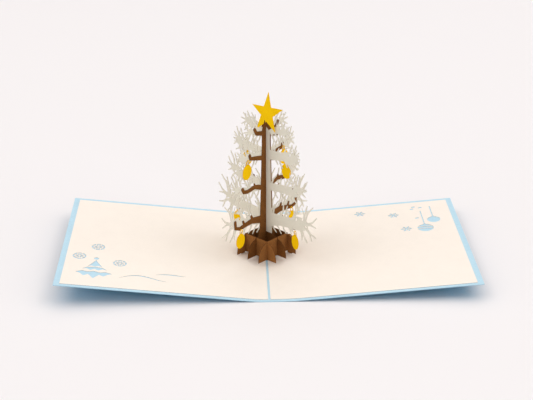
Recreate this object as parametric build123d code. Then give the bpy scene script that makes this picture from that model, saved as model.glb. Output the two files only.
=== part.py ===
from build123d import *
import os
from math import cos, pi, radians, sin

os.makedirs("parts", exist_ok=True)

# A pop up card, standing open. A folded square cover carries a glued lining on each leaf, a
# slotted lattice of brown strips over the fold, and a fir tree of two crossed double sheets:
# brown trunk and branches on one face, snowy twigs on the other.
# Millimetres. X runs across the two leaves, Y along the fold to the back, Z up. The origin is
# under the middle of the fold, on the table.

# Card stock
cover_thickness = 0.4
lining_thickness = 0.15
sheet_thickness = 0.3
glue_film = 0.05
slot_play = 0.1

# Cover: a square card when shut, its leaves springing up a little on either side of the fold
leaf_width = 150.0
leaf_depth = 150.0
fold_flat = 3.0
left_curl = 10.3
right_curl = 23.5
left_lift = 6.2
right_lift = 4.8

# Linings, with the blue cover showing all round as a border
side_border = 4.1
end_border = 3.0
gutter_half = 0.8

# Artwork
line_width = 0.8
flake_radius = 4.3
flake_bar = 1.2
rosette_radius = 4.9
rosette_ring = 1.1

# Base lattice: three strips each way, with rounded lobes past the outer crossings
lattice_y = 2.2
lattice_angle = 45.0
lattice_pitch = 10.8
strip_bottom = 2.4
strip_top = 17.0
lobe_reach = 9.2
lobe_top = 15.6
lobe_shoulder = 0.7
tab_width = 4.0
tab_reach = 3.4
tab_height = 8.0

# Tree
trunk_foot_half = 7.0
trunk_neck_half = 4.4
second_trunk_foot_half = 5.5
trunk_neck_height = 100.0
trunk_tip_height = 106.6
trunk_tip_offset = 1.6
trunk_arch_rise = 5.0
foot_flare = 2.0
foot_height = 21.0
snow_bottom = 18.7
snow_strip_foot_half = 6.0
snow_strip_neck_half = 3.8
trunk_step_height = 86.0
hidden_edge = 0.3
snow_arch_height = 101.5
half_lap_height = 60.0

# Twigs, slits in the foliage, and how much narrower and thinner the first plane's foliage is
twig_root_width = 1.8
twig_tip_width = 0.75
twig_bow = 0.1
twig_leans = (0.15, 0.55, 0.3)
shortest_bowed_twig = 8.0
long_twig = 15.0
side_twig_share = 0.4
side_twig_width = 1.25
side_twig_angle = 40.0
side_twig_places = (0.45, 0.66)
eye_length = 3.4
eye_width = 1.3
first_spread = 0.93
first_girth = 0.8

# Star
star_centre_height = 111.5
star_shift = 1.0
star_radius = 15.5
star_inner_ratio = 0.38
star_turn = 4.8
star_lean = 11.0
star_slot_top = 106.2

# Hanging ornaments
ornament_width = 8.8
ornament_height = 11.5
hanger_length = 3.6
hanger_half = 1.5
hanger_strand = 0.55
hanger_sink = 0.8
ornament_spin = 14.0

strip_half = lattice_pitch + lobe_shoulder
cover_top = cover_thickness
lining_bottom = cover_top + glue_film
lining_top = lining_bottom + lining_thickness
tab_bottom = lining_top + glue_film

along_first = Vector(sin(radians(lattice_angle)), cos(radians(lattice_angle)), 0)
along_second = Vector(sin(radians(lattice_angle)), -cos(radians(lattice_angle)), 0)
lattice_centre = Vector(0, lattice_y, 0)
# The first plane runs from front left to back right, the second from back left to front right.
# In both, the normal points at the viewer's side.
first_plane = Plane(origin=lattice_centre, x_dir=along_first, z_dir=along_second)
second_plane = Plane(origin=lattice_centre, x_dir=along_second, z_dir=-along_first)


def leaf_points(lift, curl, side, height):
    """Start of the curl, its middle and end, and the outer edge of one leaf, at the front."""
    angle = radians(lift)
    radius = curl / angle
    straight = leaf_width - fold_flat - curl
    curl_x = fold_flat + radius * sin(angle)
    curl_z = radius * (1 - cos(angle))
    middle_x = fold_flat + radius * sin(angle / 2)
    middle_z = radius * (1 - cos(angle / 2))
    outer_x = curl_x + straight * cos(angle)
    outer_z = curl_z + straight * sin(angle)
    profile = [(fold_flat, 0), (middle_x, middle_z), (curl_x, curl_z), (outer_x, outer_z)]
    return [Vector(side * px, -leaf_depth / 2, pz + height) for px, pz in profile]


def leaf_edges(points):
    return [ThreePointArc(points[0], points[1], points[2]), Line(points[2], points[3])]


def card_layer(bottom, top):
    """A layer of card that follows the sprung leaves, from its bottom to its top height."""
    edges = []
    ends = []
    for height in (bottom, top):
        left = leaf_points(left_lift, left_curl, -1, height)
        right = leaf_points(right_lift, right_curl, 1, height)
        edges += leaf_edges(left) + [Line(left[0], right[0])] + leaf_edges(right)
        ends.append((left[3], right[3]))
    edges += [Line(ends[0][0], ends[1][0]), Line(ends[0][1], ends[1][1])]
    section = make_face(Wire.combine([e.edge() for e in edges])[0])
    return extrude(section, leaf_depth, dir=(0, 1, 0))


def upright(outline):
    """A tall upright prism over an outline drawn on the table."""
    return extrude(Pos(0, 0, -1) * outline, leaf_width)


def turned(shape, count):
    """A shape repeated evenly round the origin."""
    copies = Sketch()
    for i in range(count):
        copies += Rot(0, 0, 360 / count * i) * shape
    return copies


def oval(half_width, half_height, corners):
    """A many-cornered oval."""
    bearings = [radians(360 / corners * i) for i in range(corners)]
    return Polygon(*[(half_width * cos(t), half_height * sin(t)) for t in bearings])


# Artwork cut through the linings: snowflakes, lace rosettes, a little fir, drifts and baubles


def snowflake(x, y):
    arm = Pos(flake_radius / 2, 0) * Rectangle(flake_radius, line_width)
    for tilt in (-60, 60):
        bar = Pos(flake_bar / 2, 0) * Rectangle(flake_bar, line_width)
        arm += Pos(flake_radius * 0.57, 0) * Rot(0, 0, tilt) * bar
    return Pos(x, y) * (turned(arm, 6) + oval(line_width * 1.3, line_width * 1.3, 6))


def rosette(x, y):
    """A round lace motif: a broken ring with spokes inside it."""
    inner = rosette_radius - rosette_ring
    half_step = 18.5
    ring_corners = []
    arcs = [(rosette_radius, (-half_step, 0, half_step)), (inner, (half_step, -half_step))]
    for radius, bearings in arcs:
        ring_corners += [(radius * cos(radians(t)), radius * sin(radians(t))) for t in bearings]
    spoke = Polygon((0.7, 0), (inner / 2, -0.6), (inner - 0.3, 0), (inner / 2, 0.6))
    motif = turned(Polygon(*ring_corners), 8) + Rot(0, 0, 22.5) * turned(spoke, 8)
    return Pos(x, y) * motif


def little_fir(x, y):
    """A small fir of three wavy-hemmed tiers under a five-pointed star."""
    top = [(0, 28.6), (-1.9, 24), (-5, 18.2), (-2.5, 19.4), (0, 18.2), (2.5, 19.4), (5, 18.2), (1.9, 24)]
    middle_hem = [(-9, 13.6), (-5.6, 14.6), (-2.8, 12.4), (0, 14.4), (2.8, 12.4), (5.6, 14.6), (9, 13.6)]
    middle_rim = [(5.4, 16.6), (0, 17.6), (-5.4, 16.6)]
    lower_hem = [(-12.8, 8.4), (-9.8, 6.8), (-7, 3.2), (-3.8, 5.8), (0, 0), (3.8, 5.8), (7, 3.8), (9.8, 6.8)]
    lower_rim = [(12.8, 8.4), (8, 10.4), (4, 9.2), (0, 11), (-4.6, 9.6), (-8.6, 10.8)]
    fir = Pos(x, y + 31) * RegularPolygon(2, 5, rotation=90)
    for outline in (top, middle_hem + middle_rim, lower_hem + lower_rim):
        fir += Pos(x, y) * Polygon(*outline)
    return fir


def drift(x, y, length, rise, fall):
    """A drifting line of snow: a crest that dies away as the line falls, pointed at both ends."""
    steps = 10
    upper = []
    lower = []
    for i in range(steps + 1):
        share = i / steps
        middle = rise * sin(1.45 * pi * share) - fall * share
        half = line_width * 0.7 * sin(pi * share)
        upper.insert(0, (length * share, middle + half))
        lower.append((length * share, middle - half))
    return Pos(x, y) * Polygon(*lower, *upper[1:-1])


def bauble(x, y, radius, string_length, stripes):
    """A bauble on its string: a disc with a cap, crossed by uncut stripes."""
    disc = Circle(radius)
    for i in range(stripes):
        level = radius * (0.45 - 0.55 * i)
        disc -= Pos(0, level) * Rectangle(3 * radius, line_width)
    cap = Pos(0, radius + 0.4) * Rectangle(1.8, 1.4)
    string = Pos(0, radius + string_length / 2 + 0.9) * Rectangle(line_width, string_length)
    return Pos(x, y) * (disc + cap + string)


# The left artwork is placed from the left leaf's front outer corner, x towards the fold
left_corner = Pos(-leaf_width, -leaf_depth / 2)
left_art = little_fir(26.8, 14.8)
for art_x, art_y in ((26.5, 64.9), (14.4, 48.1), (43.8, 41.2)):
    left_art += rosette(art_x, art_y)
left_art += drift(43.6, 18.2, 36, 4.4, -4.2)
left_art += drift(69.1, 27.4, 22.6, 1.0, -2.0)

# The right artwork is placed from the right leaf's back outer corner, x towards the fold
right_corner = Pos(leaf_width, leaf_depth / 2)
right_art = bauble(-19.1, -37.6, 5.0, 19.0, 0)
right_art += bauble(-27.3, -51.3, 6.1, 24.0, 2)
for art_x, art_y in ((-74.4, -16.2), (-48.8, -24.2), (-41.9, -50.6)):
    right_art += snowflake(art_x, art_y)
for art_x, art_y in ((-31.8, -12.2), (-33.4, -15.8), (-26.6, -14.1), (-31.4, -32.9)):
    right_art += Pos(art_x, art_y) * Rot(0, 0, 20) * oval(1.7, 0.9, 8)


def lining(side, lift, art):
    """The glued inner sheet of one leaf, its artwork cut clean through."""
    outer_x = leaf_width * cos(radians(lift)) - side_border
    centre_x = side * (outer_x + gutter_half) / 2
    panel = Pos(centre_x, 0) * Rectangle(outer_x - gutter_half, leaf_depth - 2 * end_border)
    return (card_layer(lining_bottom, lining_top) & upright(panel)) - upright(art)


cover = card_layer(0, cover_top)
left_lining = lining(-1, left_lift, left_corner * left_art)
right_lining = lining(1, right_lift, right_corner * right_art)


# Paper sheets of the lattice and the tree. Each outline is drawn in its plane: x along the plane,
# y up. Brown strips lie on the viewer's side in the first plane and on the far side in the second.


def sheet(outline, plane, near, far):
    """A paper sheet on a plane, between two distances on the viewer's side of it."""
    face = plane * Pos(0, 0, near) * outline
    return extrude(face, far - near, dir=plane.z_dir)


def strip_outline():
    """A lattice strip with a quarter-ellipse lobe at each end."""
    outline = Pos(0, (strip_bottom + strip_top) / 2) * Rectangle(2 * strip_half, strip_top - strip_bottom)
    lobe_length = lobe_reach - lobe_shoulder
    lobe_height = lobe_top - strip_bottom
    quarter = Ellipse(lobe_length, lobe_height) & Pos(lobe_length / 2, lobe_height / 2) * Rectangle(
        lobe_length, lobe_height
    )
    right_lobe = Pos(strip_half, strip_bottom) * quarter
    return outline + right_lobe + mirror(right_lobe, Plane.YZ)


def slot(middle, width, bottom, top):
    return Pos(middle, (bottom + top) / 2) * Rectangle(width + slot_play, top - bottom)


lap_height = (strip_bottom + strip_top) / 2
clear_below = strip_bottom - 1
clear_above = star_centre_height


def strip_slots(bottom, top, places):
    """Slots for the crossing strips at the given places, counted in pitches from the middle."""
    cuts = Sketch()
    for k in places:
        cuts += slot(k * lattice_pitch + sheet_thickness / 2, sheet_thickness, bottom, top)
    return cuts


strip = strip_outline()


def limb(points):
    """A branch along its points, each given with the branch's half width there, to a blunt end."""
    spots = [Vector(px, py) for px, py, half in points]
    count = len(spots) - 1
    upper = []
    lower = []
    for i, spot in enumerate(spots):
        ahead = (spots[min(i + 1, count)] - spots[max(i - 1, 0)]).normalized()
        across = Vector(-ahead.Y, ahead.X) * points[i][2]
        upper.insert(0, spot + across)
        lower.append(spot - across)
    end = spots[count] + ahead * across.length * 0.8
    return Polygon(*lower, end - across * 0.55, end + across * 0.55, *upper)


def blade(start, end, root_width, tip_width):
    """A straight tapered twig."""
    along = Vector(end[0] - start[0], end[1] - start[1]).normalized()
    across = Vector(-along.Y, along.X)
    root = Vector(*start)
    tip = Vector(*end)
    corners = [root + across * (root_width / 2), root - across * (root_width / 2)]
    if tip_width:
        corners += [tip - across * (tip_width / 2), tip + across * (tip_width / 2)]
    else:
        corners.append(tip)
    return Polygon(*corners)


def bowed_twig(start, end, bow):
    """A tapered twig that bows to one side; a short one stays straight."""
    run = Vector(end[0] - start[0], end[1] - start[1])
    if run.length < shortest_bowed_twig:
        return blade(start, end, twig_root_width, twig_tip_width)
    across = run.rotate(Axis.Z, 90).normalized()
    root = Vector(*start)
    tip = Vector(*end)
    elbow = root + run * 0.6 + across * (run.length * bow)
    half_root = across * (twig_root_width / 2)
    half_elbow = across * ((twig_root_width + twig_tip_width) / 4)
    half_tip = across * (twig_tip_width / 2)
    one_edge = [root - half_root, elbow - half_elbow, tip - half_tip]
    other_edge = [tip + half_tip, elbow + half_elbow, root + half_root]
    return Polygon(*one_edge, *other_edge)


def twig(start, end, turn):
    """A twig with a short side twig on one hand, or on both hands where it is long."""
    run = Vector(end[0] - start[0], end[1] - start[1])
    blades = [blade(start, end, twig_root_width, twig_tip_width)]
    side_twigs = 2 if run.length > long_twig else 1
    for place in side_twig_places[:side_twigs]:
        root = Vector(*start) + run * place
        tip = root + run.rotate(Axis.Z, turn) * side_twig_share
        blades.append(blade((root.X, root.Y), (tip.X, tip.Y), side_twig_width, 0))
        turn = -turn
    return blades


# Branches of one half, from the lowest level up. A limb's points are its distance from the trunk's
# middle, its height, and its half width there. Twigs are given by their tips.
brown_limbs = [
    [
        (3, 29.7, 3.1), (15, 32, 2.3), (20.5, 31.2, 1.8), (28, 29.8, 1.5), (32.3, 31.4, 1.4),
        (32.7, 36.4, 1.2),
    ],
    [(3, 54.6, 2.0), (12, 58, 1.7), (19.6, 56.5, 1.5), (23.4, 57.2, 1.4), (25, 60, 1.3)],
    [(3, 78.1, 1.9), (13, 80.4, 1.5), (16.5, 81.2, 1.4), (17.3, 83.8, 1.3)],
    [(3, 97, 1.8), (10.3, 98.8, 1.5), (12.3, 102.5, 1.2)],
]
brown_nubs = [
    [(14.6, 32, 1.3), (16, 36, 0.9)],
    [(23, 30.8, 1.2), (24.6, 34.6, 0.8)],
    [(11.5, 57.5, 1.1), (12.6, 60.4, 0.6)],
]
snow_limbs = [
    [(4, 29.8, 5.2), (14, 31.8, 4.3), (25, 32.8, 4.1), (32, 34.8, 5.4), (37.5, 35.4, 4.6)],
    [(4, 55.8, 3.0), (14, 57, 2.9), (22, 57.2, 3.3), (28.5, 58.8, 4.3), (32.5, 60.5, 3.3)],
    [(4, 80.8, 3.7), (12, 81.6, 3.3), (18.5, 82.8, 3.2), (24, 82.8, 4.8), (27.5, 84, 3.2)],
    [(4, 98, 1.9), (10, 101, 2.6), (14.5, 102, 3.6), (18, 101.6, 2.8)],
]
snow_plain_twigs = [
    [
        (46, 51.5), (49.3, 44), (48.8, 36.3), (49.3, 28.3), (45.3, 24.6), (41, 22), (36, 22.6), (30.5, 24.6),
        (25.6, 23.2), (20.4, 23), (15.6, 21.2), (10.8, 20.8), (24.4, 41.4), (28.8, 43.4), (12.4, 46.8),
        (17.6, 47.4), (8.8, 43),
    ],
    [
        (36, 73.3), (38.4, 68.4), (39.4, 63.2), (38.8, 57.2), (36, 50.8), (31.4, 49), (26.4, 50.4),
        (21.6, 48.6), (16.6, 50.4), (11.8, 48.6), (10.6, 66.4), (15.2, 65.4),
    ],
    [(33, 84.6), (30.6, 75.8), (21, 75.2), (16.6, 73.4), (12, 75), (9.4, 88.8), (13, 88)],
    [(25, 102.5), (9.5, 91.5), (13.4, 90.6)],
]
snow_forked_twigs = [
    [(40.4, 51), (35.6, 52), (32, 47), (21.4, 45.4)],
    [(31.6, 72.6), (27, 70.4), (21.6, 66.8)],
    [(29.5, 94.3), (32.2, 89.8), (32.8, 79.6), (25.4, 94), (26, 73.2), (20.4, 90.4)],
    [(22.8, 106.8), (24.6, 97.4), (21.4, 93.2), (18.6, 109), (14.4, 108.6), (17.2, 91.4)],
]
# Slits that open up the broad ends of the limbs: middle, height and the way they point
snow_eyes = [
    (30, 37.4, 70), (36, 39, 50), (39.4, 34, -20), (26.6, 61, 60), (31, 58, -30), (23.4, 85.4, 70),
    (14.4, 103.6, 60),
]


def nearest_on_limb(points, tip, lean):
    """Where a twig leaves its limb: level with its tip, drawn back towards the trunk."""
    last = points[-1]
    reach = tip[0] - abs(tip[1] - last[1]) * lean
    reach = max(points[0][0] + 1, min(reach - 2.5, last[0]))
    for a, b in zip(points, points[1:]):
        if a[0] <= reach <= b[0]:
            share = (reach - a[0]) / (b[0] - a[0])
            return (reach, a[1] + (b[1] - a[1]) * share)
    return last[:2]


def snow_half(spread, girth):
    """All snowy branches of one half of a sheet, drawn in towards the trunk and thinned by shares."""
    foliage = []
    for points, plain_tips, forked_tips in zip(snow_limbs, snow_plain_twigs, snow_forked_twigs):
        limb_points = [(px * spread, py, half * girth) for px, py, half in points]
        foliage.append(limb(limb_points))
        bow = twig_bow
        for i, (px, py) in enumerate(plain_tips):
            tip = (px * spread, py)
            start = nearest_on_limb(limb_points, tip, twig_leans[i % 3])
            foliage.append(bowed_twig(start, tip, bow))
            bow = -bow
        turn = side_twig_angle
        for i, (px, py) in enumerate(forked_tips):
            tip = (px * spread, py)
            start = nearest_on_limb(limb_points, tip, twig_leans[i % 3])
            foliage += twig(start, tip, turn)
            turn = -turn
    half = Sketch() + foliage
    for px, py, bearing in snow_eyes:
        eye = Rot(0, 0, bearing) * Polygon(
            (eye_length / 2, 0), (0, eye_width / 2), (-eye_length / 2, 0), (0, -eye_width / 2)
        )
        half -= Pos(px * spread, py) * eye
    return half


def both_sides(half):
    return half + mirror(half, Plane.YZ)


def trunk_half(foot, side, top):
    """Right half of a trunk strip, from its foot up along its side, closed by a top outline."""
    corners = [(0, strip_top - 1), (foot + foot_flare, strip_top - 1), (foot, foot_height)]
    return Polygon(*corners, *side, *top)


pointed_top = [
    (trunk_neck_half, trunk_neck_height),
    (trunk_tip_offset, trunk_tip_height),
    (0, trunk_neck_height + 2),
]
arched_top = [
    (trunk_neck_half, trunk_neck_height + trunk_arch_rise * 0.32),
    (trunk_neck_half * 0.6, trunk_neck_height + trunk_arch_rise * 0.82),
    (0, trunk_neck_height + trunk_arch_rise),
]
brown_branches = Sketch() + [limb(points) for points in brown_limbs + brown_nubs]
straight_side = [(trunk_neck_half, trunk_neck_height - 4)]
hidden_side = [
    (snow_strip_neck_half - hidden_edge, trunk_step_height),
    (trunk_neck_half, trunk_step_height + 1.5),
    (trunk_neck_half, trunk_neck_height - 4),
]
brown_half = trunk_half(trunk_foot_half, straight_side, pointed_top) + brown_branches
second_brown_half = trunk_half(second_trunk_foot_half, hidden_side, arched_top) + brown_branches

snow_strip = Polygon(
    (0, snow_bottom),
    (snow_strip_foot_half, snow_bottom),
    (snow_strip_neck_half, trunk_neck_height - 8),
    (snow_strip_neck_half, snow_arch_height - 3),
    (0, snow_arch_height),
)
first_snow_half = snow_strip + snow_half(first_spread, first_girth)
second_snow_half = snow_strip + snow_half(1.0, 1.0)

# The two tree planes lap halfway up: the first is slotted from the top, the second from below.
tree_slot_width = 2 * sheet_thickness
first_tree_slot = slot(0, tree_slot_width, half_lap_height, clear_above)
second_tree_slot = slot(0, tree_slot_width, clear_below, half_lap_height)

first_side_slots = strip_slots(lap_height, foot_height, (-1, 1))
second_side_slots = strip_slots(clear_below, lap_height, (-1, 1))
first_trunk_outline = strip + both_sides(brown_half) - first_side_slots - first_tree_slot
second_trunk_outline = strip + both_sides(second_brown_half) - second_side_slots - second_tree_slot
first_snow_outline = both_sides(first_snow_half) - first_tree_slot
second_snow_outline = both_sides(second_snow_half) - second_tree_slot

first_trunk_sheet = sheet(first_trunk_outline, first_plane, 0, sheet_thickness)
first_snow_sheet = sheet(first_snow_outline, first_plane, -sheet_thickness, 0)
second_trunk_sheet = sheet(second_trunk_outline, second_plane, -sheet_thickness, 0)
second_snow_sheet = sheet(second_snow_outline, second_plane, 0, sheet_thickness)

first_strip = strip - strip_slots(lap_height, foot_height, (-1, 0, 1))
second_strip = strip - strip_slots(clear_below, lap_height, (-1, 0, 1))
base_strips = {}
for name, k in (("front", 1), ("back", -1)):
    near = k * lattice_pitch
    first_near_strip = sheet(first_strip, first_plane, near, near + sheet_thickness)
    second_near_strip = sheet(second_strip, second_plane, near - sheet_thickness, near)
    base_strips[f"first_base_strip_{name}"] = first_near_strip
    base_strips[f"second_base_strip_{name}"] = second_near_strip


# Glue tabs: a folded strip of brown paper at the left and the right corner of the lattice, one
# leg flat on the lining and the other against the hidden face of the lobe above it


def base_tab(plane, side, face_distance):
    """A folded tab against the strip face at a distance on the viewer's side of a plane."""
    middle = side * (strip_half + tab_width / 2)
    leg_outline = Pos(middle, tab_height / 2) * Rectangle(tab_width, tab_height)
    leg = sheet(leg_outline, plane, face_distance - sheet_thickness, face_distance)
    leg &= card_layer(tab_bottom, tab_height)
    foot_outline = Pos(middle, 0) * Rectangle(tab_width, tab_height)
    foot = sheet(foot_outline, plane, face_distance - tab_reach, face_distance)
    foot &= card_layer(tab_bottom, tab_bottom + sheet_thickness)
    return leg + foot


left_base_tab = base_tab(first_plane, -1, -lattice_pitch)
right_base_tab = base_tab(second_plane, 1, -lattice_pitch - sheet_thickness)


# Star: it leans back, and a slot up from its lower notch straddles the tip of the first sheet
star_points = []
for i in range(10):
    point_radius = star_radius if i % 2 == 0 else star_radius * star_inner_ratio
    bearing = radians(90 + 36 * i + star_turn)
    star_points.append((point_radius * cos(bearing), point_radius * sin(bearing)))
star_plane = second_plane * Pos(star_shift, star_centre_height, 0) * Rot(-star_lean, 0, 0)
star_slot_outline = Pos(0, star_slot_top - star_radius / 2) * Rectangle(star_radius, star_radius)
star_slot = sheet(star_slot_outline, first_plane, -slot_play / 2, sheet_thickness + slot_play / 2)
star = extrude(star_plane * Polygon(*star_points), sheet_thickness) - star_slot


# Ornaments: paper ovals, each with a loop glued to the branch that carries it


def ornament(plane, near, centre, tilt, spin=0.0):
    """An oval and its loop, in a paper layer on a plane, tilted in it and spun on its hanging line."""
    loop_height = (ornament_height + hanger_length) / 2
    loop_half_height = hanger_length / 2 + hanger_sink
    loop = oval(hanger_half, loop_half_height, 10)
    loop -= oval(hanger_half - hanger_strand, loop_half_height - hanger_strand, 10)
    outline = oval(ornament_width / 2, ornament_height / 2, 24) + Pos(0, loop_height - hanger_sink) * loop
    piece = sheet(Pos(*centre) * Rot(0, 0, tilt) * outline, plane, near, near + sheet_thickness)
    hanging_line = Axis((plane * Pos(centre[0], centre[1], near)).position, (0, 0, 1))
    return piece.rotate(hanging_line, spin)


over_brown = sheet_thickness
over_snow = sheet_thickness + glue_film + hanger_half * sin(radians(ornament_spin))
behind_brown = -2 * sheet_thickness
ornaments = {
    "front_left_upper_ornament": ornament(first_plane, over_brown, (-20.4, 71.9), -9),
    "front_left_lower_ornament": ornament(first_plane, over_brown, (-27.7, 20.0), -6),
    "back_right_upper_ornament": ornament(first_plane, over_brown, (18.6, 73.0), 5),
    "back_right_lower_ornament": ornament(first_plane, over_brown, (27.8, 20.6), 3),
    "front_right_upper_ornament": ornament(second_plane, behind_brown, (19.4, 71.9), 6),
    "front_right_lower_ornament": ornament(second_plane, over_snow, (29.9, 19.4), 1, -ornament_spin),
    "back_left_upper_ornament": ornament(second_plane, behind_brown, (-19.2, 72.4), -6),
    "back_left_lower_ornament": ornament(second_plane, behind_brown, (-29.7, 20.1), -2),
}

parts = {
    "cover": cover,
    "left_lining": left_lining,
    "right_lining": right_lining,
    "first_trunk_sheet": first_trunk_sheet,
    "first_snow_sheet": first_snow_sheet,
    "second_trunk_sheet": second_trunk_sheet,
    "second_snow_sheet": second_snow_sheet,
    "left_base_tab": left_base_tab,
    "right_base_tab": right_base_tab,
    "star": star,
}
parts.update(base_strips)
parts.update(ornaments)

for node, shape in parts.items():
    export_step(shape, f"parts/{node}.step")
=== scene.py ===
"""Looks of a pop up card standing open: folded cover, linings, lattice, tree, star and ornaments."""

import logging
import math
from collections.abc import Iterable
from dataclasses import dataclass
from enum import Enum

import bmesh
import bpy
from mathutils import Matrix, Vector

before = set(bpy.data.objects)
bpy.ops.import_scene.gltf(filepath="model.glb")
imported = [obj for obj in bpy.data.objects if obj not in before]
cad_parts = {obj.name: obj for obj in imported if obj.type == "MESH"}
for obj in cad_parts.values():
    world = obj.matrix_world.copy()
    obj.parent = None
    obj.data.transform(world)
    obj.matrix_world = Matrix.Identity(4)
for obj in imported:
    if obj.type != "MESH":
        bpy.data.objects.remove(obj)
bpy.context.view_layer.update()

LATTICE_TURN = math.radians(45.0)
MATT_SPECULAR = 0.1
log = logging.getLogger("pop_up_card")

Triple = tuple[float, float, float]


@dataclass(frozen=True)
class PaperStock:
    """One kind of dyed paper or card.

    Args:
        name: The material's name.
        colour: Dye colour, linear red, green and blue.
        edge_colour: Colour of the laser-cut edge.
        cloudiness: How far the colour drifts between lighter and darker clouds.
        fibre: Strength of the fine fibre marks in the colour.
        tooth: Height of the surface texture, in metres.
        roughness: Roughness of the face.
        back_colour: Colour of the far side of a duplex card, or None where both sides are alike.
    """

    name: str
    colour: Triple
    edge_colour: Triple
    cloudiness: float
    fibre: float
    tooth: float
    roughness: float
    back_colour: Triple | None = None


class Stock(Enum):
    """The paper stocks of the card."""

    BLUE = PaperStock(
        name="pearl blue card",
        colour=(0.51, 0.71, 0.82),
        edge_colour=(0.42, 0.65, 0.79),
        cloudiness=0.025,
        fibre=0.05,
        tooth=0.00004,
        roughness=0.62,
        back_colour=(0.04, 0.42, 0.70),
    )
    CREAM = PaperStock(
        name="cream card",
        colour=(0.94, 0.845, 0.755),
        edge_colour=(0.30, 0.33, 0.34),
        cloudiness=0.012,
        fibre=0.015,
        tooth=0.00002,
        roughness=0.85,
    )
    BROWN = PaperStock(
        name="chestnut paper",
        colour=(0.205, 0.080, 0.019),
        edge_colour=(0.095, 0.036, 0.011),
        cloudiness=0.20,
        fibre=0.28,
        tooth=0.00006,
        roughness=0.82,
    )
    # The chestnut paper painted lighter. Its extra lightness is painted light, standing in for the light
    # that falls on the lattice's outer strips.
    TAN = PaperStock(
        name="chestnut paper with painted light",
        colour=(0.305, 0.125, 0.034),
        edge_colour=(0.12, 0.046, 0.013),
        cloudiness=0.16,
        fibre=0.25,
        tooth=0.00006,
        roughness=0.82,
    )
    WHITE = PaperStock(
        name="frost white paper",
        colour=(0.83, 0.79, 0.68),
        edge_colour=(0.58, 0.51, 0.39),
        cloudiness=0.02,
        fibre=0.03,
        tooth=0.00003,
        roughness=0.84,
    )
    GOLD = PaperStock(
        name="sunflower paper",
        colour=(1.0, 0.61, 0.0),
        edge_colour=(0.86, 0.40, 0.0),
        cloudiness=0.06,
        fibre=0.12,
        tooth=0.00004,
        roughness=0.80,
    )


class Flat(Enum):
    """Which way a sheet faces: the direction of its broad faces."""

    UP = (0.0, 0.0, 1.0)
    FIRST_PLANE = (math.cos(LATTICE_TURN), -math.sin(LATTICE_TURN), 0.0)
    SECOND_PLANE = (-math.cos(LATTICE_TURN), -math.sin(LATTICE_TURN), 0.0)


@dataclass(frozen=True)
class GrainPattern:
    """Sizes of the paper grain. Scales are in marks to a metre.

    Args:
        cloud_scale: How closely the soft clouds lie.
        cloud_detail: How many finer layers the clouds have.
        fibre_scale: How closely the fibres lie along and across themselves.
        fibre_detail: How many finer layers the fibres have.
        fibre_turns: Direction of each lay of fibres, in degrees.
        noise_middle: Middle value of one noise pattern.
        swing: How many times its strength a pattern's deviation counts.
        bump_strength: How far the tooth turns the shading.
    """

    cloud_scale: float = 95.0
    cloud_detail: float = 3.0
    fibre_scale: Triple = (500.0, 2600.0, 2600.0)
    fibre_detail: float = 2.0
    fibre_turns: tuple[float, float] = (18.0, -57.0)
    noise_middle: float = 0.5
    swing: float = 4.0
    bump_strength: float = 0.6


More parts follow.
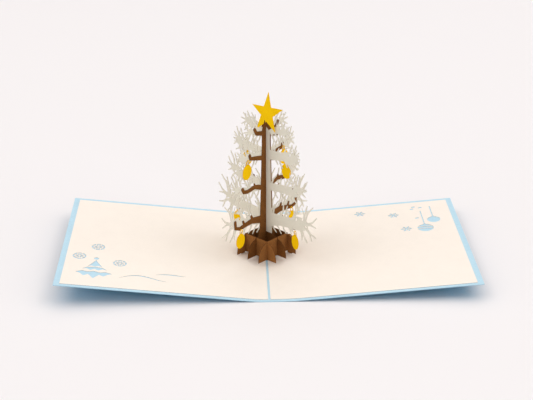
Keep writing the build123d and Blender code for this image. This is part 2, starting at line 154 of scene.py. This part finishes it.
class PaperGroups:
    """Shader node groups that every paper of the card shares."""

    def __init__(self) -> None:
        """Build the groups once."""
        self.pattern = GrainPattern()
        self.grain = self._grain()
        self.cut_edge = self._facing_mask("cut edge", (0.5, 0.8), absolute=True)
        self.far_side = self._facing_mask("far side", (-0.2, 0.2), absolute=False)

    @staticmethod
    def _socket(tree: bpy.types.NodeTree, name: str, kind: str, way: str) -> None:
        """Add one named socket to a group.

        Args:
            tree: The group.
            name: The socket's name.
            kind: Float, Color or Vector.
            way: INPUT or OUTPUT.
        """
        tree.interface.new_socket(name=name, in_out=way, socket_type=f"NodeSocket{kind}")

    @staticmethod
    def _maths(
        tree: bpy.types.NodeTree, operation: str, *terms: bpy.types.NodeSocket | float
    ) -> bpy.types.NodeSocket:
        """Add one maths node.

        Args:
            tree: The tree to add it to.
            operation: What it does, such as ADD.
            terms: Its inputs in order, each an output to link from or a number.

        Returns:
            The output that carries the result.
        """
        node = tree.nodes.new("ShaderNodeMath")
        node.operation = operation
        for place, term in zip(node.inputs, terms):
            if isinstance(term, bpy.types.NodeSocket):
                tree.links.new(term, place)
            else:
                place.default_value = term
        return node.outputs["Value"]

    def _grain(self) -> bpy.types.NodeTree:
        """Make the paper grain: soft clouds and fine fibres in the dye, and a tooth for the bump.

        Returns:
            A group that turns a dye colour into the grained colour and a height in metres.
        """
        tree = bpy.data.node_groups.new("paper grain", "ShaderNodeTree")
        self._socket(tree, "Dye", "Color", "INPUT")
        for name in ("Cloudiness", "Fibre", "Tooth"):
            self._socket(tree, name, "Float", "INPUT")
        self._socket(tree, "Colour", "Color", "OUTPUT")
        self._socket(tree, "Height", "Float", "OUTPUT")
        nodes = tree.nodes
        link = tree.links.new
        inlet = nodes.new("NodeGroupInput")
        outlet = nodes.new("NodeGroupOutput")
        place = nodes.new("ShaderNodeTexCoord").outputs["Object"]

        clouds = nodes.new("ShaderNodeTexNoise")
        clouds.inputs["Scale"].default_value = self.pattern.cloud_scale
        clouds.inputs["Detail"].default_value = self.pattern.cloud_detail
        link(place, clouds.inputs["Vector"])

        strands = [self._strand(tree, place, math.radians(turn)) for turn in self.pattern.fibre_turns]
        fibres = self._maths(tree, "ADD", *strands)

        middle = self.pattern.noise_middle
        cloud_tone = self._signed(tree, clouds.outputs["Fac"], middle, inlet.outputs["Cloudiness"])
        fibre_tone = self._signed(tree, fibres, middle * len(strands), inlet.outputs["Fibre"])
        tone = self._maths(tree, "ADD", cloud_tone, fibre_tone)
        dyed = nodes.new("ShaderNodeVectorMath")
        dyed.operation = "SCALE"
        link(inlet.outputs["Dye"], dyed.inputs[0])
        link(self._maths(tree, "ADD", tone, 1.0), dyed.inputs["Scale"])
        link(dyed.outputs["Vector"], outlet.inputs["Colour"])

        height = self._maths(tree, "MULTIPLY", fibres, inlet.outputs["Tooth"])
        link(height, outlet.inputs["Height"])
        return tree

    def _strand(
        self, tree: bpy.types.NodeTree, place: bpy.types.NodeSocket, turn: float
    ) -> bpy.types.NodeSocket:
        """Add one lay of long, thin fibre marks.

        Args:
            tree: The tree to add the nodes to.
            place: The coordinates.
            turn: Direction of the lay, in radians.

        Returns:
            The output that carries the marks.
        """
        lay = tree.nodes.new("ShaderNodeMapping")
        lay.inputs["Rotation"].default_value = (turn, turn / 2, turn)
        lay.inputs["Scale"].default_value = self.pattern.fibre_scale
        marks = tree.nodes.new("ShaderNodeTexNoise")
        marks.inputs["Scale"].default_value = 1.0
        marks.inputs["Detail"].default_value = self.pattern.fibre_detail
        tree.links.new(place, lay.inputs["Vector"])
        tree.links.new(lay.outputs["Vector"], marks.inputs["Vector"])
        return marks.outputs["Fac"]

    def _signed(
        self,
        tree: bpy.types.NodeTree,
        source: bpy.types.NodeSocket,
        middle: float,
        strength: bpy.types.NodeSocket,
    ) -> bpy.types.NodeSocket:
        """Centre a value on nought and scale it.

        Args:
            tree: The tree to add the nodes to.
            source: The value.
            middle: The value's middle, taken away from it.
            strength: How strongly its deviation counts.

        Returns:
            The output that carries the scaled value.
        """
        centred = self._maths(tree, "SUBTRACT", source, middle)
        scaled = self._maths(tree, "MULTIPLY", centred, strength)
        return self._maths(tree, "MULTIPLY", scaled, self.pattern.swing)

    def _facing_mask(self, name: str, limits: tuple[float, float], absolute: bool) -> bpy.types.NodeTree:
        """Make a mask of the surface that is turned away from the way a sheet faces.

        Args:
            name: The group's name.
            limits: Up to where the mask is 1, and from where it is 0, as cosines of the turn.
            absolute: Whether both broad faces count as facing the sheet's way.

        Returns:
            A group with the sheet's facing as input and the mask as output.
        """
        tree = bpy.data.node_groups.new(name, "ShaderNodeTree")
        self._socket(tree, "Facing", "Vector", "INPUT")
        self._socket(tree, "Mask", "Float", "OUTPUT")
        nodes = tree.nodes
        link = tree.links.new
        inlet = nodes.new("NodeGroupInput")
        outlet = nodes.new("NodeGroupOutput")
        surface = nodes.new("ShaderNodeNewGeometry")
        across = nodes.new("ShaderNodeVectorMath")
        across.operation = "DOT_PRODUCT"
        link(surface.outputs["True Normal"], across.inputs[0])
        link(inlet.outputs["Facing"], across.inputs[1])
        cosine = across.outputs["Value"]
        if absolute:
            cosine = self._maths(tree, "ABSOLUTE", cosine)
        mask = nodes.new("ShaderNodeMapRange")
        settings = {"From Min": limits[0], "From Max": limits[1], "To Min": 1.0, "To Max": 0.0}
        for setting, value in settings.items():
            mask.inputs[setting].default_value = value
        link(cosine, mask.inputs["Value"])
        link(mask.outputs["Result"], outlet.inputs["Mask"])
        return tree


class PaperRack:
    """Makes the paper materials, one for each stock and each way a sheet faces."""

    def __init__(self) -> None:
        """Start with the shared groups and no materials."""
        self.groups = PaperGroups()
        self.made: dict[tuple[Stock, Flat], bpy.types.Material] = {}

    def paper(self, stock: Stock, flat: Flat) -> bpy.types.Material:
        """Give the material of a stock for sheets that face one way.

        Args:
            stock: The paper stock.
            flat: The way its broad faces look.

        Returns:
            The material, made on the first call.
        """
        key = (stock, flat)
        if key not in self.made:
            self.made[key] = self._build(stock.value, flat)
        return self.made[key]

    def _build(self, stock: PaperStock, flat: Flat) -> bpy.types.Material:
        """Build one paper material.

        Args:
            stock: The finish.
            flat: The way the broad faces look.

        Returns:
            The new material.
        """
        material = bpy.data.materials.new(f"{stock.name} {flat.name.lower()}")
        material.use_nodes = True
        tree = material.node_tree
        nodes = tree.nodes
        link = tree.links.new
        shader = nodes["Principled BSDF"]
        shader.inputs["Roughness"].default_value = stock.roughness
        shader.inputs["Specular IOR Level"].default_value = MATT_SPECULAR

        dye = self._blend(tree, self.groups.cut_edge, flat, stock.colour, stock.edge_colour)
        if stock.back_colour is not None:
            faces = self._blend(tree, self.groups.far_side, flat, stock.colour, stock.back_colour)
            link(faces.outputs["Result"], dye.inputs["A"])

        grain = nodes.new("ShaderNodeGroup")
        grain.node_tree = self.groups.grain
        grain.inputs["Cloudiness"].default_value = stock.cloudiness
        grain.inputs["Fibre"].default_value = stock.fibre
        grain.inputs["Tooth"].default_value = stock.tooth
        link(dye.outputs["Result"], grain.inputs["Dye"])
        link(grain.outputs["Colour"], shader.inputs["Base Color"])

        bump = nodes.new("ShaderNodeBump")
        bump.inputs["Strength"].default_value = self.groups.pattern.bump_strength
        bump.inputs["Distance"].default_value = 1.0
        link(grain.outputs["Height"], bump.inputs["Height"])
        link(bump.outputs["Normal"], shader.inputs["Normal"])
        return material

    @staticmethod
    def _blend(
        tree: bpy.types.NodeTree, group: bpy.types.NodeTree, flat: Flat, plain: Triple, masked: Triple
    ) -> bpy.types.Node:
        """Add a mix of two colours by one of the facing masks.

        Args:
            tree: The material's tree.
            group: The mask's group.
            flat: The way the broad faces look.
            plain: Colour where the mask is 0.
            masked: Colour where the mask is 1.

        Returns:
            The mix node.
        """
        mask = tree.nodes.new("ShaderNodeGroup")
        mask.node_tree = group
        mask.inputs["Facing"].default_value = flat.value
        mix = tree.nodes.new("ShaderNodeMix")
        mix.data_type = "RGBA"
        mix.inputs["A"].default_value = (*plain, 1.0)
        mix.inputs["B"].default_value = (*masked, 1.0)
        tree.links.new(mask.outputs["Mask"], mix.inputs["Factor"])
        return mix

    def dress(self, nodes: Iterable[str], stock: Stock, flat: Flat) -> None:
        """Give CAD nodes their paper.

        Args:
            nodes: The nodes' names.
            stock: The paper stock.
            flat: The way their broad faces look.
        """
        material = self.paper(stock, flat)
        for node in nodes:
            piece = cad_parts[node]
            for slot in piece.material_slots:
                slot.material = material
            log.info("%s: %s", node, material.name)


@dataclass
class FoldedCover:
    """The folded blue card and the cream linings glued inside it."""

    cover: str = "cover"
    linings: tuple[str, ...] = ("left_lining", "right_lining")

    def dress(self, rack: PaperRack) -> None:
        """Dress the cover and its linings.

        Args:
            rack: Where the papers come from.
        """
        rack.dress([self.cover], Stock.BLUE, Flat.UP)
        rack.dress(self.linings, Stock.CREAM, Flat.UP)


@dataclass
class BaseLattice:
    """The slotted strips at the tree's foot and the tabs that glue them down."""

    first_strips: tuple[str, ...] = ("first_base_strip_front", "first_base_strip_back", "left_base_tab")
    second_strips: tuple[str, ...] = ("second_base_strip_front", "second_base_strip_back", "right_base_tab")

    def dress(self, rack: PaperRack) -> None:
        """Dress the strips and tabs in the chestnut paper painted lighter, whose extra lightness is painted
        light.

        Args:
            rack: Where the papers come from.
        """
        # Painted light: the lattice gets the brown paper painted lighter, standing in for the light that
        # falls on its strips.
        rack.dress(self.first_strips, Stock.TAN, Flat.FIRST_PLANE)
        rack.dress(self.second_strips, Stock.TAN, Flat.SECOND_PLANE)


@dataclass
class SnowyTree:
    """The two crossed double sheets of the tree."""

    planes: tuple[tuple[str, Flat], ...] = (("first", Flat.FIRST_PLANE), ("second", Flat.SECOND_PLANE))

    def dress(self, rack: PaperRack) -> None:
        """Dress the trunk sheets and the snow sheets.

        Args:
            rack: Where the papers come from.
        """
        for name, flat in self.planes:
            rack.dress([f"{name}_trunk_sheet"], Stock.BROWN, flat)
            rack.dress([f"{name}_snow_sheet"], Stock.WHITE, flat)


@dataclass
class StarAndOrnaments:
    """The star at the top and the ovals that hang from the branches."""

    star: str = "star"
    halves: tuple[tuple[str, Flat], ...] = (
        ("front_left", Flat.FIRST_PLANE),
        ("back_right", Flat.FIRST_PLANE),
        ("front_right", Flat.SECOND_PLANE),
        ("back_left", Flat.SECOND_PLANE),
    )
    levels: tuple[str, ...] = ("upper", "lower")

    def dress(self, rack: PaperRack) -> None:
        """Dress the star and every ornament.

        Args:
            rack: Where the papers come from.
        """
        rack.dress([self.star], Stock.GOLD, Flat.SECOND_PLANE)
        for half, flat in self.halves:
            rack.dress([f"{half}_{level}_ornament" for level in self.levels], Stock.GOLD, flat)


@dataclass(frozen=True)
class SoftPanel:
    """A square soft light that looks at the card.

    Args:
        name: The light's name.
        place: Where it hangs, in metres.
        width: Length of its sides.
        watts: Its power.
    """

    name: str
    place: Triple
    width: float
    watts: float

    def hang(self) -> None:
        """Add the light to the scene."""
        light = bpy.data.lights.new(self.name, "AREA")
        light.shape = "SQUARE"
        light.size = self.width
        light.energy = self.watts
        lamp = bpy.data.objects.new(self.name, light)
        lamp.location = self.place
        lamp.rotation_euler = (-Vector(self.place)).to_track_quat("-Z", "Y").to_euler()
        bpy.context.scene.collection.objects.link(lamp)


@dataclass
class Studio:
    """The pale floor, the soft lights and the camera."""

    floor_half: float = 3.0
    floor_colour: Triple = (0.88, 0.838, 0.835)
    floor_roughness: float = 0.95
    sky_colour: Triple = (1.0, 0.985, 0.975)
    sky_strength: float = 0.09
    seen_sky_strength: float = 0.88
    panels: tuple[SoftPanel, ...] = (
        SoftPanel("ceiling panel", (0.0, 0.90, 3.40), 7.0, 141.0),
        SoftPanel("rear panel", (0.24, 2.10, 3.30), 3.8, 23.0),
        SoftPanel("left panel", (-3.20, -0.80, 2.50), 4.0, 60.0),
        SoftPanel("right panel", (3.20, -0.80, 2.50), 4.0, 66.0),
        SoftPanel("front panel", (0.24, -3.30, 1.65), 2.4, 23.0),
    )
    camera_place: Triple = (-0.0270, -0.8707, 0.4260)
    camera_down_degrees: float = 23.64
    camera_yaw_degrees: float = 1.79
    focal_pixels: float = 1295.0
    image_width_pixels: float = 533.0
    sensor_width: float = 36.0

    def build(self) -> None:
        """Build floor, sky, lights and camera."""
        self._floor()
        self._sky()
        for panel in self.panels:
            panel.hang()
        self._camera()

    def _floor(self) -> None:
        """Lay the plain floor, level with the card's fold."""
        mesh = bpy.data.meshes.new("floor")
        shape = bmesh.new()
        bmesh.ops.create_grid(shape, x_segments=1, y_segments=1, size=self.floor_half)
        shape.to_mesh(mesh)
        shape.free()
        floor = bpy.data.objects.new("floor", mesh)
        bpy.context.scene.collection.objects.link(floor)
        paint = bpy.data.materials.new("matt pale floor")
        paint.use_nodes = True
        shader = paint.node_tree.nodes["Principled BSDF"]
        shader.inputs["Base Color"].default_value = (*self.floor_colour, 1.0)
        shader.inputs["Roughness"].default_value = self.floor_roughness
        shader.inputs["Specular IOR Level"].default_value = MATT_SPECULAR
        mesh.materials.append(paint)

    def _sky(self) -> None:
        """Surround the set with an even sky that lights it faintly and looks pale in the picture."""
        world = bpy.data.worlds.new("pale studio")
        world.use_nodes = True
        nodes = world.node_tree.nodes
        link = world.node_tree.links.new
        backdrop = nodes["Background"]
        backdrop.inputs["Color"].default_value = (*self.sky_colour, 1.0)
        rays = nodes.new("ShaderNodeLightPath")
        strength = nodes.new("ShaderNodeMapRange")
        strength.inputs["To Min"].default_value = self.sky_strength
        strength.inputs["To Max"].default_value = self.seen_sky_strength
        link(rays.outputs["Is Camera Ray"], strength.inputs["Value"])
        link(strength.outputs["Result"], backdrop.inputs["Strength"])
        bpy.context.scene.world = world

    def _camera(self) -> None:
        """Set the camera where the photograph was taken from."""
        lens = bpy.data.cameras.new("camera")
        lens.sensor_width = self.sensor_width
        lens.lens = self.sensor_width * self.focal_pixels / self.image_width_pixels
        camera = bpy.data.objects.new("camera", lens)
        camera.location = self.camera_place
        camera.rotation_euler = (
            math.radians(90.0 - self.camera_down_degrees),
            0.0,
            -math.radians(self.camera_yaw_degrees),
        )
        bpy.context.scene.collection.objects.link(camera)
        bpy.context.scene.camera = camera
        bpy.context.scene.view_settings.view_transform = "Standard"


def main() -> None:
    """Dress the card and set it in the studio."""
    logging.basicConfig(level=logging.INFO, format="%(message)s")
    rack = PaperRack()
    for assembly in (FoldedCover(), BaseLattice(), SnowyTree(), StarAndOrnaments()):
        assembly.dress(rack)
        log.info("%s dressed", type(assembly).__name__)
    Studio().build()


if __name__ == "__main__":
    main()
